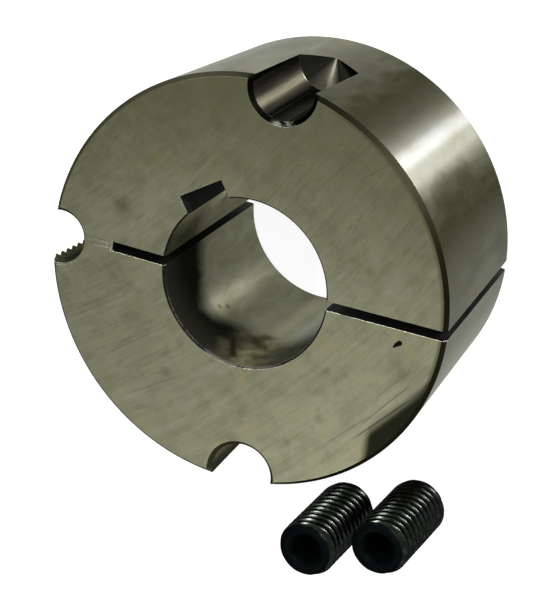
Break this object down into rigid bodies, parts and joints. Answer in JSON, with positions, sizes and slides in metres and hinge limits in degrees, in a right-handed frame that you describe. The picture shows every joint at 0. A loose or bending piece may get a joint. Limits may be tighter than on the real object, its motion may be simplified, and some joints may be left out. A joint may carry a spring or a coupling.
{
  "type": "taper bush",
  "caption": "Split tapered bush with keyway, rim half holes and two grub screws, for locking a pulley or sprocket to a shaft.",
  "frame": {"origin": "where the bore's axis meets the plane of the small end, on which the bush stands", "axes": "+Z along the bore's axis to the large end, +X along the full slit"},
  "size_m": [0.0851, 0.1133, 0.0444],
  "materials": {
    "ground_iron": "ground and lightly oiled, bare metal",
    "black_screw": "black oxide, glossy"
  },
  "bodies": {
    "root": {"taper_bush": "ground_iron", "grub_screw_1": "black_screw", "grub_screw_2": "black_screw"}
  },
  "joints": []
}
